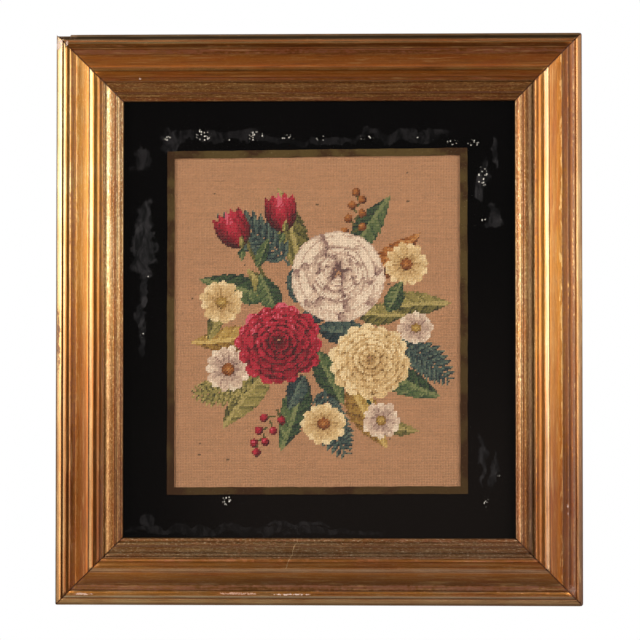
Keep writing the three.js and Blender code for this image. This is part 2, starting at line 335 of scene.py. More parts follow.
def gilding(name, bright, deep, speckle, damage):
    """Old burnished gilding over red clay and gesso. It reads where each point lies on its moulding,
    and how sheltered or how exposed it is, from the rail's own attributes."""
    make = Finish(name)
    place = make.object_place()
    grain = make.attribute("grain", "Vector")
    shelter = make.attribute("shelter")
    matt = make.attribute("matt")
    clay_worn = make.attribute("clay_worn")
    streaks = make.noise(grain, 1, 5, stretch=(9, 900, 900))
    fine_streaks = make.noise(grain, 1, 4, stretch=(30, 2600, 2600))
    blotches = make.noise(place, 26, 5)
    mottle = make.noise(place, 240, 5, roughness=0.65)
    pits = make.noise(place, 1100, 3)

    tone = make.blended(0.5, streaks, blotches)
    orange = make.plus(make.attribute("orange"), make.step(tone, 0.62, 0.36, -0.2, 0.35), clamp=True)
    gold = make.mixed(orange, bright, deep)
    wash = make.noise(grain, 1, 4, stretch=(16, 130, 130), distortion=0.4)
    wash = make.times(make.step(wash, 0.47, 0.66, 0, 0.5), orange)
    gold = make.mixed(wash, gold, (0.34, 0.095, 0.025, 1))
    rubbed = make.blended(0.5, streaks, mottle)
    rubbed = make.plus(rubbed, make.times(clay_worn, 0.24))
    rubbed = make.step(rubbed, 0.60, 0.72)
    clay = make.mixed(mottle, (0.16, 0.045, 0.018, 1), (0.34, 0.11, 0.04, 1))
    colour = make.mixed(make.times(rubbed, 0.8), gold, clay)
    # Pale flecks are painted glints that stand in for light glittering on mottled gilding, strongest on the
    # liner; the dark flecks are the gilding's own mottle.
    flecks = make.noise(grain, 1, 3, stretch=(300, 800, 800), roughness=0.75)
    painted_glints = make.step(flecks, 0.54, 0.66, 0, speckle)
    colour = make.mixed(painted_glints, colour, (0.78, 0.60, 0.38, 1))
    colour = make.mixed(make.step(flecks, 0.46, 0.34, 0, speckle), colour, (0.10, 0.032, 0.012, 1))
    grime = make.step(make.plus(shelter, make.times(mottle, 0.5)), 0.45, 1.15)
    colour = make.mixed(make.times(grime, 0.8), colour, (0.12, 0.055, 0.020, 1))
    specks = make.step(pits, 0.70, 0.74)
    colour = make.mixed(make.times(specks, 0.6), colour, (0.05, 0.025, 0.01, 1))

    inward = make.parts(grain)[1]
    reach = make.noise(grain, 1, 5, stretch=(70, 300, 300), roughness=0.65)
    reach = make.step(reach, 0.42, 0.66, RUBBED_EDGE[0] * MM, RUBBED_EDGE[1] * MM)
    past_edge = make.maths("GREATER_THAN", inward, RUBBED_EDGE[0] * MM)
    edge = make.times(make.maths("LESS_THAN", inward, reach), past_edge)
    edge = make.times(edge, make.attribute("rubbed_edge"))
    colour = make.mixed(edge, colour, (0.62, 0.38, 0.17, 1))
    # Painted light and shade: the colour is multiplied by the rail's painted light, tint and falloff.
    colour = make.mixed(1.0, colour, make.attribute("painted_light_and_shade", "Color"), blend_type="MULTIPLY")
    strand = make.noise(grain, 1, 4, stretch=(22, 430, 430), distortion=0.6)
    colour = make.mixed(make.step(strand, 0.50, 0.34, 0, 0.32), colour, (0.10, 0.032, 0.010, 1))
    colour = make.mixed(make.step(strand, 0.55, 0.70, 0, 0.22), colour, (0.62, 0.38, 0.15, 1))
    colour = make.mixed(make.times(make.hairline(place, **CRACK), 0.85), colour, (0.62, 0.42, 0.22, 1))

    joint = make.plus(make.attribute("to_mitre"), make.times(mottle, 0.0012))
    colour = make.mixed(make.step(joint, 0.0021, 0.0011, 0, 0.9), colour, (0.055, 0.014, 0.006, 1))

    bare_clay = 0.0
    bare_gesso = 0.0
    for _, x, z, reach_x, reach_z, _, gesso_share, clay_share in damage:
        spot = make.patch(place, x, z, reach_x, reach_z, 0.8)
        if clay_share:
            bare_clay = make.highest(bare_clay, make.times(spot, clay_share))
        if gesso_share:
            bare_gesso = make.highest(bare_gesso, make.times(spot, gesso_share))
    if damage:
        bare_clay = make.times(bare_clay, make.step(mottle, 0.44, 0.52))
        bare_gesso = make.times(bare_gesso, make.step(make.noise(place, 620, 4), 0.40, 0.50))
        dark_clay = make.mixed(make.step(pits, 0.45, 0.55), clay, (0.05, 0.022, 0.012, 1))
        colour = make.mixed(bare_clay, colour, dark_clay)
        gesso = make.mixed(mottle, (0.50, 0.30, 0.24, 1), (0.82, 0.70, 0.62, 1))
        colour = make.mixed(bare_gesso, colour, gesso)
    bare = make.highest(make.times(rubbed, 0.7), make.times(grime, 0.85))
    if damage:
        bare = make.highest(bare, make.highest(bare_clay, bare_gesso))
    metal = make.blended(bare, make.blended(matt, 0.90, 0.84), 0.0)
    shine = make.blended(make.step(fine_streaks, 0.35, 0.7), 0.26, 0.36)
    shine = make.blended(matt, shine, 0.48)
    rough = make.blended(bare, shine, 0.72)

    relief = make.plus(make.times(fine_streaks, 0.5), make.times(mottle, 0.6))
    relief = make.minus(relief, make.times(bare, 0.8))
    relief = make.plus(relief, make.times(flecks, speckle * 2.5))
    relief = make.minus(relief, make.times(specks, 0.7))
    bump = make.bump(0.6, 0.0002, relief)
    return make.done({
        "Base Color": colour,
        "Metallic": metal,
        "Roughness": rough,
        "Specular IOR Level": 0.3,
        "Coat Weight": 0.18,
        "Coat Roughness": 0.3,
        "Normal": bump,
    })


def plain_wood(name, dark, light, along):
    """Bare sawn softwood, with its grain along one axis."""
    make = Finish(name)
    place = make.object_place()
    stretch = [160, 160, 160]
    stretch[along] = 6
    grain = make.noise(place, 1, 6, stretch=tuple(stretch), distortion=0.6)
    fibres = make.noise(place, 4, 3, stretch=tuple(4 * value for value in stretch))
    colour = make.mixed(make.step(grain, 0.35, 0.68), dark, light)
    stains = make.step(make.noise(place, 9, 4), 0.45, 0.75, 0, 0.45)
    colour = make.mixed(stains, colour, tuple(0.45 * value for value in dark[:3]) + (1,))
    bump = make.bump(0.4, 0.0003, fibres)
    return make.done({"Base Color": colour, "Normal": bump, "Roughness": 0.78})


def side_paint():
    """The thin ochre paint on the frame's plain outer sides, scuffed to the gesso here and there."""
    make = Finish("ochre side paint")
    place = make.object_place()
    scuffs = make.step(make.noise(place, 60, 6, roughness=0.7), 0.60, 0.70)
    tone = make.noise(place, 18, 4)
    colour = make.mixed(tone, (0.16, 0.085, 0.030, 1), (0.34, 0.20, 0.075, 1))
    colour = make.mixed(make.times(scuffs, 0.5), colour, (0.55, 0.42, 0.30, 1))
    bump = make.bump(0.3, 0.0003, make.noise(place, 300, 4))
    return make.done({"Base Color": colour, "Normal": bump, "Roughness": 0.6})


def pick(piece):
    """Makes one piece the only selected and the active one."""
    bpy.ops.object.select_all(action="DESELECT")
    piece.select_set(True)
    bpy.context.view_layer.objects.active = piece


def copy_of(node, name):
    """A copy of a construction node with its faces joined up and its flat ones made whole."""
    source = nodes[node]
    piece = source.copy()
    piece.data = source.data.copy()
    piece.name = name
    piece.parent = None
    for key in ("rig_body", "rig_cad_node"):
        del piece[key]
    bpy.context.scene.collection.objects.link(piece)
    pick(piece)
    bpy.ops.object.mode_set(mode="EDIT")
    bpy.ops.mesh.select_all(action="SELECT")
    bpy.ops.mesh.remove_doubles(threshold=0.00001)
    bpy.ops.mesh.dissolve_limited(angle_limit=math.radians(0.5))
    bpy.ops.object.mode_set(mode="OBJECT")
    piece.data.materials.clear()
    return piece


def cut_across(piece, places, normal):
    """Cuts the whole piece by a row of planes, so that it can be shaped between them."""
    pick(piece)
    bpy.ops.object.mode_set(mode="EDIT")
    for place in places:
        bpy.ops.mesh.select_all(action="SELECT")
        bpy.ops.mesh.bisect(plane_co=[place * value for value in normal], plane_no=normal)
    bpy.ops.object.mode_set(mode="OBJECT")


def points_of(piece):
    points = np.zeros(len(piece.data.vertices) * 3)
    piece.data.vertices.foreach_get("co", points)
    return points.reshape(-1, 3)


def set_points(piece, points):
    piece.data.vertices.foreach_set("co", points.ravel())
    piece.data.update()


def set_attribute(piece, name, values):
    kind, key = ("FLOAT_VECTOR", "vector") if np.ndim(values) == 2 else ("FLOAT", "value")
    layer = piece.data.attributes.new(name, kind, "POINT")
    layer.data.foreach_set(key, np.ascontiguousarray(values, np.float32).ravel())


def on_moulding(points, side):
    """Where points lie on a rail: along it, inwards from the frame's outer edge, and in front of the wall."""
    x, z = points[:, 0] - MIDDLE.x, points[:, 2] - MIDDLE.z
    along, out, reach = {
        "top": (x, z, HALF_HEIGHT),
        "bottom": (-x, -z, HALF_HEIGHT),
        "right": (-z, x, HALF_WIDTH),
        "left": (z, -x, HALF_WIDTH),
    }[side]
    return along, reach - out, -points[:, 1]


def shelter_of(inward, height, front):
    """How far each point lies below the members on both sides of it, from 0 to 1."""
    profile_inward, profile_height = front
    near = abs(profile_inward[None] - inward[:, None]) < 3.2 * MM
    before = near & (profile_inward[None] <= inward[:, None] + 0.01 * MM)
    after = near & (profile_inward[None] >= inward[:, None] - 0.01 * MM)
    highest = [np.where(side, profile_height[None], -1).max(1) for side in (before, after)]
    return np.clip((np.minimum(*highest) - height) / (1.5 * MM), 0, 1)


def value_at(rows, places, column=1):
    """The value at each place, read from one column of rows that start with their place."""
    rows = np.array(rows)
    return np.interp(places, rows[:, 0], rows[:, column])


def colours_at(rows, places):
    return np.stack([value_at(rows, places, channel) for channel in (1, 2, 3)], 1)


def gilt_rail(kind, side, gold, wood, paint):
    """One rail: its arrises eased, its faces cut along its length, a little uneven by hand, and worn."""
    lip_height = FRONT_ABOVE_MM[kind] * MM
    node = f"{kind}_rail_{side}"
    piece = copy_of(node, f"gilt_{kind}_{side}")
    ease = piece.modifiers.new("eased arrises", "BEVEL")
    ease.width = EASED_MM * MM
    ease.segments = 2
    ease.limit_method = "ANGLE"
    ease.angle_limit = math.radians(ARRIS_DEGREES)
    pick(piece)
    bpy.ops.object.modifier_apply(modifier=ease.name)
    level = side in ("top", "bottom")
    low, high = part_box(node)
    start, end = (low.x, high.x) if level else (low.z, high.z)
    places = list(np.arange(start + 6 * MM, end - 3 * MM, CUTS_APART_MM * MM))
    places += [start + shift * MM for shift in (1.5, 3)] + [end - shift * MM for shift in (3, 1.5)]
    if node == "outer_rail_top":
        places += [BROKEN_CORNER["up_to_x"] * MM + shift * MM for shift in (-4, -0.1, 0.4)]
    cut_across(piece, places, (1, 0, 0) if level else (0, 0, 1))

    points = points_of(piece)
    along, inward, height = on_moulding(points, side)
    forward = height > lip_height
    to_mitre = (HALF_WIDTH if level else HALF_HEIGHT) - abs(along) - inward
    from_mitre = np.clip(to_mitre / (8 * MM), 0, 1)
    phase = {"top": 0.3, "right": 1.9, "bottom": 3.1, "left": 4.6}[side]
    waves = ((1, 0.21), (2, 0.083), (3, 0.037))
    sway = sum(np.sin(along * 2 * math.pi / length + phase * k + inward * 60) / k for k, length in waves)
    points[:, 1] -= forward * from_mitre * sway * SWAY_MM * MM
    for _, x, z, reach_x, reach_z, depth, _, _ in DAMAGE:
        beside = (points[:, 0] - x * MM) / (reach_x * MM)
        above = (points[:, 2] - MIDDLE.z - z * MM) / (reach_z * MM)
        points[:, 1] += forward * np.clip(1.3 - np.hypot(beside, above), 0, 1) * depth * MM
    if node == "outer_rail_top":
        broken = (points[:, 0] < BROKEN_CORNER["up_to_x"] * MM) & (inward < BROKEN_CORNER["inward"] * MM)
        away = 1 - np.clip(inward / (BROKEN_CORNER["inward"] * MM), 0, 1)
        points[:, 2] -= broken * forward * away * BROKEN_CORNER["drop"] * MM

    closer = np.sign(along) * np.clip(1 - to_mitre / (3 * MM), 0, 1) * MITRE_CLOSING_MM * MM
    points[:, 0] += {"top": 1, "bottom": -1}.get(side, 0) * closer
    points[:, 2] += {"left": 1, "right": -1}.get(side, 0) * closer
    if kind == "outer":
        for to_right, upwards, radius in KNOCKED_CORNERS:
            beyond_x = to_right * (points[:, 0] - MIDDLE.x) - HALF_WIDTH + radius * MM
            beyond_z = upwards * (points[:, 2] - MIDDLE.z) - HALF_HEIGHT + radius * MM
            far = np.hypot(beyond_x, beyond_z)
            knocked = (beyond_x > 0) & (beyond_z > 0) & (far > radius * MM)
            cut = np.where(knocked, 1 - radius * MM / np.maximum(far, 1e-6), 0)
            points[:, 0] -= to_right * beyond_x * cut
            points[:, 2] -= upwards * beyond_z * cut
    set_points(piece, points)

    middle = (abs(along) < 12 * MM) & forward
    order = np.argsort(inward[middle])
    front = (inward[middle][order], height[middle][order])
    if kind == "liner":
        front = tuple(np.append(values, lip * MM) for values, lip in zip(front, LIP_MM))
    from_edge = inward / MM
    stops = OUTER_FINISH if kind == "outer" else LINER_FINISH
    orange = value_at(stops, from_edge, 3)
    clay_worn = value_at(stops, from_edge, 2)
    if side in WORN:
        clay_worn = np.maximum(clay_worn, value_at(WORN[side], from_edge))
    # Painted light and shade for this rail: how light each member is painted, its tint, and its falloff along
    # it.
    light = value_at(PAINTED_LIGHT[side], from_edge)
    falloff_tint = colours_at(PAINTED_FALLOFF[side], (points[:, 0] if level else points[:, 2] - MIDDLE.z) / MM)
    for name, values in {
        "to_mitre": to_mitre,
        "grain": np.stack([along + phase, inward, height], 1),
        "matt": value_at(stops, from_edge),
        # Painted shade: on the level rails the gold inward of the outer roll is made more orange and deeper,
        # as these rails get less of the side lights.
        "orange": np.where(inward > 11 * MM, 0.35 + 0.65 * orange, orange) if level else orange,
        "clay_worn": clay_worn,
        "shelter": shelter_of(inward, height, front),
        "rubbed_edge": np.full(len(points), RUBBED[side]),
        "painted_light_and_shade": np.minimum(light[:, None] * colours_at(PAINTED_TINT[side], from_edge) * falloff_tint, PAINTED_LIGHT_LIMIT),
    }.items():
        set_attribute(piece, name, values)

    for finish in (gold, wood, paint):
        piece.data.materials.append(finish)
    outward = {"top": (0, 1), "right": (1, 0), "bottom": (0, -1), "left": (-1, 0)}[side]
    for face in piece.data.polygons:
        faces_out = face.normal.x * outward[0] + face.normal.z * outward[1]
        if -face.center.y > lip_height or face.normal.y < -0.2:
            face.material_index = 0
        elif faces_out > 0.8 and kind == "outer":
            face.material_index = 2
        else:
            face.material_index = 1
    pick(piece)
    bpy.ops.object.shade_smooth_by_angle(angle=math.radians(SMOOTH_DEGREES))
    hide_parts(node)
    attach(piece, "root")


def build_frame():
    bright = (0.43, 0.285, 0.150, 1)
    golds = {
        "outer": gilding("burnished gilding", bright, (0.37, 0.140, 0.026, 1), 0.1, DAMAGE),
        "liner": gilding("liner gilding", bright, (0.30, 0.125, 0.032, 1), 0.72, []),
    }
    dark, light = (0.20, 0.115, 0.055, 1), (0.38, 0.25, 0.14, 1)
    level_wood = plain_wood("rail wood level", dark, light, 0)
    upright_wood = plain_wood("rail wood upright", dark, light, 2)
    paint = side_paint()
    for side in ("top", "right", "bottom", "left"):
        wood = level_wood if side in ("top", "bottom") else upright_wood
        for kind, gold in golds.items():
            gilt_rail(kind, side, gold, wood, paint)


def old_glass():
    """Thin clear glass with the faint waves of an old pane. It lets light through to the wool."""
    make = Finish("old glass")
    waves = make.noise(make.object_place(), 14, 2)
    bump = make.bump(0.12, 0.0006, waves)
    return make.done({
        "Normal": bump,
        "Base Color": (0.97, 0.985, 0.97, 1),
        "Roughness": 0.015,
        "IOR": 1.48,
        "Specular IOR Level": 0.2,
        "Transmission Weight": 1.0,
    })


def build_glass():
    pane = nodes["glass_pane"]
    pane.data.materials.clear()
    pane.data.materials.append(old_glass())
    pane.visible_shadow = False


# Where the black paint has come away from the glass: each place, its x and z from the frame's middle and
# its reach along both in millimetres, and how grey it is.
LIFTED_PAINT = [
    ("band over the window, left", -110, 208, 62, 6, 0.35),
    ("band over the window, middle", -10, 204, 70, 4, 0.3),
    ("band over the window, right", 100, 209, 48, 6, 0.35),
    ("triangle at the top left", -170, 203, 11, 16, 0.6),
    ("long lift on the left", -200, 92, 12, 46, 1),
    ("tail of the left lift", -199, 30, 4, 42, 0.9),
    ("foot of the left lift", -205, -18, 5, 28, 0.9),
    ("crumpled lift at the top left", -206, 185, 12, 14, 0.5),
    ("crumpled lift on the right", 188, 158, 7, 26, 0.8),
    ("lift below it", 203, 118, 9, 14, 0.8),
    ("sliver on the right", 203, 190, 4, 15, 0.8),
    ("low lift on the right, left arm", 185, -160, 3, 30, 0.6),
    ("low lift on the right, right arm", 199, -172, 3.5, 22, 0.6),
    ("lift under the window", -22, -232, 34, 3, 0.4),
    ("haze along the bottom", -80, -240, 150, 5, 0.3),
    ("lift near the bottom left", -196, -232, 10, 7, 0.4),
]
# Clusters of tiny holes in the black paint: x, z, and the reach along both.
PAINT_HOLES = [
    (-173, 207, 4, 3), (-132, 210, 8, 7), (-104, 205, 5, 2), (-73, 209, 10, 5), (-36, 208, 8, 4),
    (3, 206, 6, 3), (52, 207, 10, 2), (116, 206, 5, 2), (152, 201, 7, 3), (176, 201, 7, 4),
    (186, 162, 6, 11), (188, 112, 4, 2), (190, -208, 3, 5), (-196, 48, 4, 1.5), (-201, -18, 2, 3),
    (-105, -206, 5, 5), (203, -175, 3, 4),
]


def border_paint():
    """Black enamel seen through the glass, grey where it has lifted and pale where it has tiny holes."""
    make = Finish("black enamel")
    place = make.object_place()
    warp = make.add("TexNoise", {"Vector": place, "Scale": 45, "Detail": 4}).outputs["Color"]
    warp = make.vector("ADD", warp, (-0.5, -0.5, -0.5))
    warp = make.vector("MULTIPLY", warp, (0.032, 0, 0.032))
    warped = make.vector("ADD", place, warp)
    creases = make.noise(place, 90, 5, stretch=(1, 1, 0.5), distortion=1.2)
    lifted = 0.0
    for _, x, z, reach_x, reach_z, grey in LIFTED_PAINT:
        lifted = make.highest(lifted, make.times(make.patch(warped, x, z, reach_x, reach_z, 0.12), grey))
    lifted = make.times(lifted, make.step(creases, 0.25, 0.7, 0.3, 1))
    grey = make.mixed(make.step(creases, 0.40, 0.66), (0.011, 0.0105, 0.011, 1), (0.027, 0.0245, 0.0255, 1))
    black = make.mixed(make.noise(place, 12, 3), (0.0007, 0.0006, 0.0006, 1), (0.0018, 0.0014, 0.0014, 1))
    to_right, _, height = make.parts(place)
    # The black is made a little paler towards the bottom left.
    paler_low_left = make.step(height, MIDDLE.z + 0.12, MIDDLE.z - 0.22, 0, 0.8)
    paler_low_left = make.times(paler_low_left, make.step(to_right, -0.22, -0.04, 0.1, 1))
    black = make.mixed(paler_low_left, black, (0.0062, 0.0045, 0.0038, 1))
    colour = make.mixed(lifted, black, grey)
    holes = 0.0
    for hole in PAINT_HOLES:
        holes = make.highest(holes, make.patch(place, *hole, 0.1))
    cells = make.add("TexVoronoi", {"Vector": place, "Scale": 560})
    luck = make.add("SeparateColor", {0: cells.outputs["Color"]}).outputs[0]
    size = make.step(luck, 0.35, 1, 0, 0.46)
    dots = make.maths("LESS_THAN", cells.outputs["Distance"], size)
    lost = make.times(holes, dots)
    stray = make.step(make.noise(place, 420, 2), 0.80, 0.84, 0, 0.5)
    colour = make.mixed(make.highest(lost, stray), colour, (0.62, 0.57, 0.52, 1))
    bump = make.bump(0.3, 0.0003, creases)
    return make.done({"Base Color": colour, "Normal": bump, "Roughness": 0.3, "Specular IOR Level": 0.0})


def band_paint():
    """The dull gold band: thin paint, browner and greener by turns, with pale and dark flecks, and darker
    towards the bottom.
    """
    make = Finish("dull gold band")
    place = make.object_place()
    runs = make.noise(place, 30, 5)
    flecks = make.noise(place, 500, 4, roughness=0.7)
    colour = make.mixed(make.step(runs, 0.42, 0.56), (0.030, 0.013, 0.005, 1), (0.060, 0.037, 0.012, 1))
    colour = make.mixed(make.step(flecks, 0.58, 0.72, 0, 0.6), colour, (0.15, 0.105, 0.045, 1))
    colour = make.mixed(make.step(flecks, 0.42, 0.30, 0, 0.7), colour, (0.030, 0.018, 0.008, 1))
    height = make.parts(place)[2]
    foot = make.step(height, MIDDLE.z - 0.2, MIDDLE.z + 0.15, 0.55, 0)
    colour = make.mixed(foot, colour, (0.026, 0.011, 0.005, 1))
    return make.done({"Base Color": colour, "Roughness": 0.5, "Specular IOR Level": 0.05})


# The painted window from its middle: where its edges lie, and how far out its hole's points can be.
WINDOW_HALF_MM = (162.5, 189)
WINDOW_EDGE_WITHIN_MM = (163.5, 190.2)


def hand_painted(node, name, finish, hole_margin, wobble, outer_wobble=0.0):
    """A coat of paint whose edges wander a little, as a brush leaves them."""
    piece = copy_of(node, name)
    low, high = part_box(node)
    cut_across(piece, np.arange(low.x + 4 * MM, high.x - 2 * MM, 7 * MM), (1, 0, 0))
    cut_across(piece, np.arange(low.z + 4 * MM, high.z - 2 * MM, 7 * MM), (0, 0, 1))
    points = points_of(piece)
    hole = points_of(nodes["gilt_band"])
    centre_x, centre_z = hole[:, 0].mean(), hole[:, 2].mean()
    x, z = points[:, 0] - centre_x, points[:, 2] - centre_z
    inner = (abs(x) < WINDOW_EDGE_WITHIN_MM[0] * MM) & (abs(z) < WINDOW_EDGE_WITHIN_MM[1] * MM)
    wander = [
        sum(np.sin(where * 2 * math.pi / length + length * 900) for length in (0.19, 0.071, 0.033, 0.017)) / 4
        for where in (z, x)
    ]
    amount = np.where(inner, wobble, outer_wobble) * MM
    beside = abs(x) / WINDOW_HALF_MM[0] > abs(z) / WINDOW_HALF_MM[1]
    points[:, 0] += np.sign(x) * np.where(beside, (wander[0] * amount + inner * hole_margin * MM), 0)
    points[:, 2] += np.sign(z) * np.where(~beside, (wander[1] * amount + inner * hole_margin * MM), 0)
    set_points(piece, points)
    piece.data.materials.append(finish)
    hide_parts(node)
    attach(piece, "root")


# The chart, in stitches, and its yarns from dark to light, as they show in daylight.
INCH_MM = 25.4
STITCHES_PER_INCH = 14
STITCH_PITCH = INCH_MM * MM / STITCHES_PER_INCH
# How far the twist of a yarn's plies takes for one turn, in metres.
PLY_TURN = 0.0011
COLUMNS, ROWS = 182, 212
CHART_CENTRE = (-2.0, -2.7)
YARNS = {
    "crimson": [(58, 10, 16), (100, 12, 24), (142, 18, 36), (174, 36, 54), (202, 90, 104)],
    "blush": [(104, 74, 68), (146, 112, 100), (178, 148, 128), (204, 176, 152), (222, 200, 176)],
    "cream": [(122, 88, 48), (164, 126, 76), (192, 156, 104), (208, 176, 126), (224, 198, 154)],
    "olive": [(52, 50, 26), (84, 78, 38), (116, 104, 54), (144, 128, 70), (170, 150, 92)],
    "green": [(24, 34, 30), (38, 54, 38), (58, 76, 46), (86, 98, 58), (122, 124, 78)],
    "gold": [(98, 66, 26), (130, 92, 38), (156, 118, 54), (176, 142, 74), (198, 166, 100)],
    "rust": [(70, 32, 14), (106, 54, 20), (138, 76, 28), (166, 102, 46), (188, 132, 74)],
    "teal": [(20, 28, 32), (28, 42, 46), (42, 58, 58), (66, 80, 72), (96, 106, 88)],
}
GROUND = (174, 127, 91)
# How many stitches of the ground one strand of wool makes, and how many dark flecks are spun into it.
STRAND_STITCHES = 13
DARK_FLECKS = 26
FAMILIES = list(YARNS)
across, up = np.meshgrid(np.arange(COLUMNS) - (COLUMNS - 1) / 2, np.arange(ROWS) - (ROWS - 1) / 2)
chance = np.random.default_rng(7)
family = np.full((ROWS, COLUMNS), -1)
shade = np.zeros((ROWS, COLUMNS))
unevenness = chance.normal(0, 0.28, (ROWS, COLUMNS))


def work(mask, name, level):
    """Stitches a place in one family of yarns: level 0 is its darkest yarn and 4 its lightest."""
    family[mask] = FAMILIES.index(name)
    shade[mask] = np.clip(np.round(level + unevenness), 0, 4)[mask]


def lengthwise(x, y, angle, length, width, bend=0.0):
    """How far each stitch lies along a petal, from 0 to 1, and across it, in half widths."""
    turn = math.radians(angle)
    dx, dy = across - x, up - y
    u = (dx * math.cos(turn) + dy * math.sin(turn)) / length
    v = (-dx * math.sin(turn) + dy * math.cos(turn)) / width * 2
    return u, v - bend * u * u


def leaf(x, y, angle, length, width, name, bend=0.0, veins=6, light=1):
    u, v = lengthwise(x, y, angle, length, width, bend)
    edge = np.sin(np.pi * np.clip(u, 0, 1) ** 0.8) * (1 - 0.13 * ((u * veins * 1.5) % 1))
    mask = (u > 0) & (u < 1) & (abs(v) < edge)
    rib = (u * veins + abs(v) * 1.1) % 1
    level = 2.0 + np.where(v * light > 0, 0.9, -0.5)
    level = level - 1.0 * (rib < 0.22) + 0.5 * (rib > 0.7) - 0.6 * (abs(v) > edge * 0.82)
    level = np.where(abs(v) < 0.13, 3.7, level) - 0.5 * (u < 0.2)
    work(mask, name, level)


def stem(points, name, thickness=1.0, level=1.5):
    for (x0, y0), (x1, y1) in zip(points, points[1:]):
        run, rise = x1 - x0, y1 - y0
        t = np.clip(((across - x0) * run + (up - y0) * rise) / (run * run + rise * rise), 0, 1)
        distance = np.hypot(across - x0 - t * run, up - y0 - t * rise)
        work(distance < thickness, name, np.full(across.shape, level))


def fern(x, y, angle, length, name, bend=0.0):
    turn = math.radians(angle)
    spine = [
        (x + length * t * math.cos(turn + bend * t), y + length * t * math.sin(turn + bend * t))
        for t in np.linspace(0, 1, 12)
    ]
    for place, (px, py) in enumerate(spine[1:], 1):
        size = length * 0.34 * math.sin(math.pi * min(0.97, 0.2 + 0.75 * place / 12))
        heading = angle + math.degrees(bend) * place / 6
        for side in (-1, 1):
            leaf(px, py, heading + side * 52, size, size * 0.36, name, veins=2, light=side)
    stem(spine, name, 0.8, 3)


def petal(x, y, angle, length, width, name, dark=0.6, light=3.4, cup=0.0, tip=1.6, point=0.6):
    u, v = lengthwise(x, y, angle, length, width)
    edge = np.sin(np.pi * np.clip(u, 0, 1) ** tip) ** point
    mask = (u > 0) & (u < 1) & (abs(v) < edge)
    level = dark + (light - dark) * np.clip(u * 1.15, 0, 1) ** 1.3
    rim = (abs(v) > edge - 0.2) * (u < 0.82)
    level = level + cup * (1 - np.clip(abs(v) / (edge + 1e-6), 0, 1)) - 0.9 * rim
    work(mask, name, level)


def sink(x, y, reach, width, depth, flat=1.0):
    """Darkens the stitches just outside an inner ring of petals."""
    distance = np.hypot(across - x, (up - y) / flat)
    mask = (distance > reach * 0.9) & (distance < reach + width) & (family >= 0)
    drop = depth * (1 - (distance - reach * 0.9) / (width + reach * 0.1))
    shade[mask] = np.clip(np.round(shade - drop + unevenness * 0.5), 0, 4)[mask]


def dahlia(x, y, radius, name, rings=6, count=15, flat=0.92, low=0.2, high=3.7):
    for ring in range(rings):
        reach = radius * (1 - ring / (rings + 0.6))
        many = max(5, round(count * (1 - 0.11 * ring)))
        wide = 2 * math.pi * reach / many * 1.12
        centre_y = y + ring * radius * 0.012
        if ring:
            sink(x, centre_y, reach, radius * 0.07, 1.5, flat)
        for place in range(many):
            angle = 360 * (place + 0.5 * (ring % 2)) / many + chance.uniform(-4, 4)
            turn = math.radians(angle)
            start = reach * 0.28
            bx = x + start * math.cos(turn) * 0.6
            by = centre_y + start * math.sin(turn) * 0.6 * flat
            length = (reach - start * 0.6) * chance.uniform(0.95, 1.05)
            length *= 1 - (1 - flat) * abs(math.sin(turn))
            light = high - 0.1 * ring + 0.45 * math.sin(turn) - 0.25 * math.cos(turn)
            light += chance.uniform(-0.5, 0.4)
            petal(bx, by, angle, length, wide, name, dark=low + chance.uniform(-0.3, 0.3), light=light)
    heart = np.hypot(across - x, (up - y) / flat) < radius * 0.09
    work(heart, name, np.full(across.shape, 0.6))


def peony(x, y, radius, name):
    for count, reach, wide, lift, light in ((7, 1.0, 0.98, 0.0, 3.5), (6, 0.8, 0.84, 0.05, 3.8)):
        sink(x, y + lift * radius, radius * reach * 0.98, radius * 0.1, 1.6 if reach < 1 else 0)
        for place in range(count):
            angle = 360 * place / count + 14 * count + chance.uniform(-6, 6)
            turn = math.radians(angle)
            px, py = x + 0.1 * radius * math.cos(turn), y + (0.1 * math.sin(turn) + lift) * radius
            long = radius * reach * 0.9 * chance.uniform(0.94, 1.04)
            petal(px, py, angle - 4, long * 1.03, radius * wide * 1.06, name, dark=0.4, light=2.6, tip=2.2)
            bright = light + 0.3 * math.sin(turn)
            petal(px, py, angle, long, radius * wide, name, 0.4, bright, cup=0.5, tip=2.2)
    for ring, (count, reach) in enumerate(((8, 0.56), (7, 0.47), (6, 0.36), (5, 0.26), (3, 0.16))):
        if ring in (0, 2):
            sink(x, y + 0.07 * radius, radius * reach, radius * 0.11, 1.6)
        for place in range(count):
            angle = 360 * place / count + 40 * ring + chance.uniform(-12, 12)
            turn = math.radians(angle)
            px = x + 0.04 * radius * math.cos(turn)
            py = y + (0.04 * math.sin(turn) + 0.05 + 0.02 * ring) * radius
            long = radius * reach * chance.uniform(0.85, 1.1)
            shaded, bright = 1.9 + chance.uniform(-0.7, 0.5), 3.7 + chance.uniform(-0.4, 0.4)
            petal(px, py, angle + 5, long * 1.05, long * 0.98, name, dark=-0.4, light=shaded, tip=2.4)
            petal(px, py, angle, long, long * 0.86, name, dark=0.3, light=bright, tip=2.4)


def daisy(x, y, radius, name, heart, count=13, flat=1.0):
    for place in range(count):
        angle = 360 * place / count + chance.uniform(-5, 5)
        long = radius * chance.uniform(0.92, 1.05) * (1 - (1 - flat) * abs(math.sin(math.radians(angle))))
        wide = 2 * math.pi * radius / count * 0.95
        petal(x, y, angle, long, wide, name, dark=1.2, light=3.9 if place % 2 else 3.2, tip=2.0)
    distance = np.hypot(across - x, (up - y) / flat) / (radius * 0.27)
    work(distance < 1, heart, 3.2 - 2.2 * distance + 0.8 * ((across + up) % 2) - 0.6 * (up < y - 1))


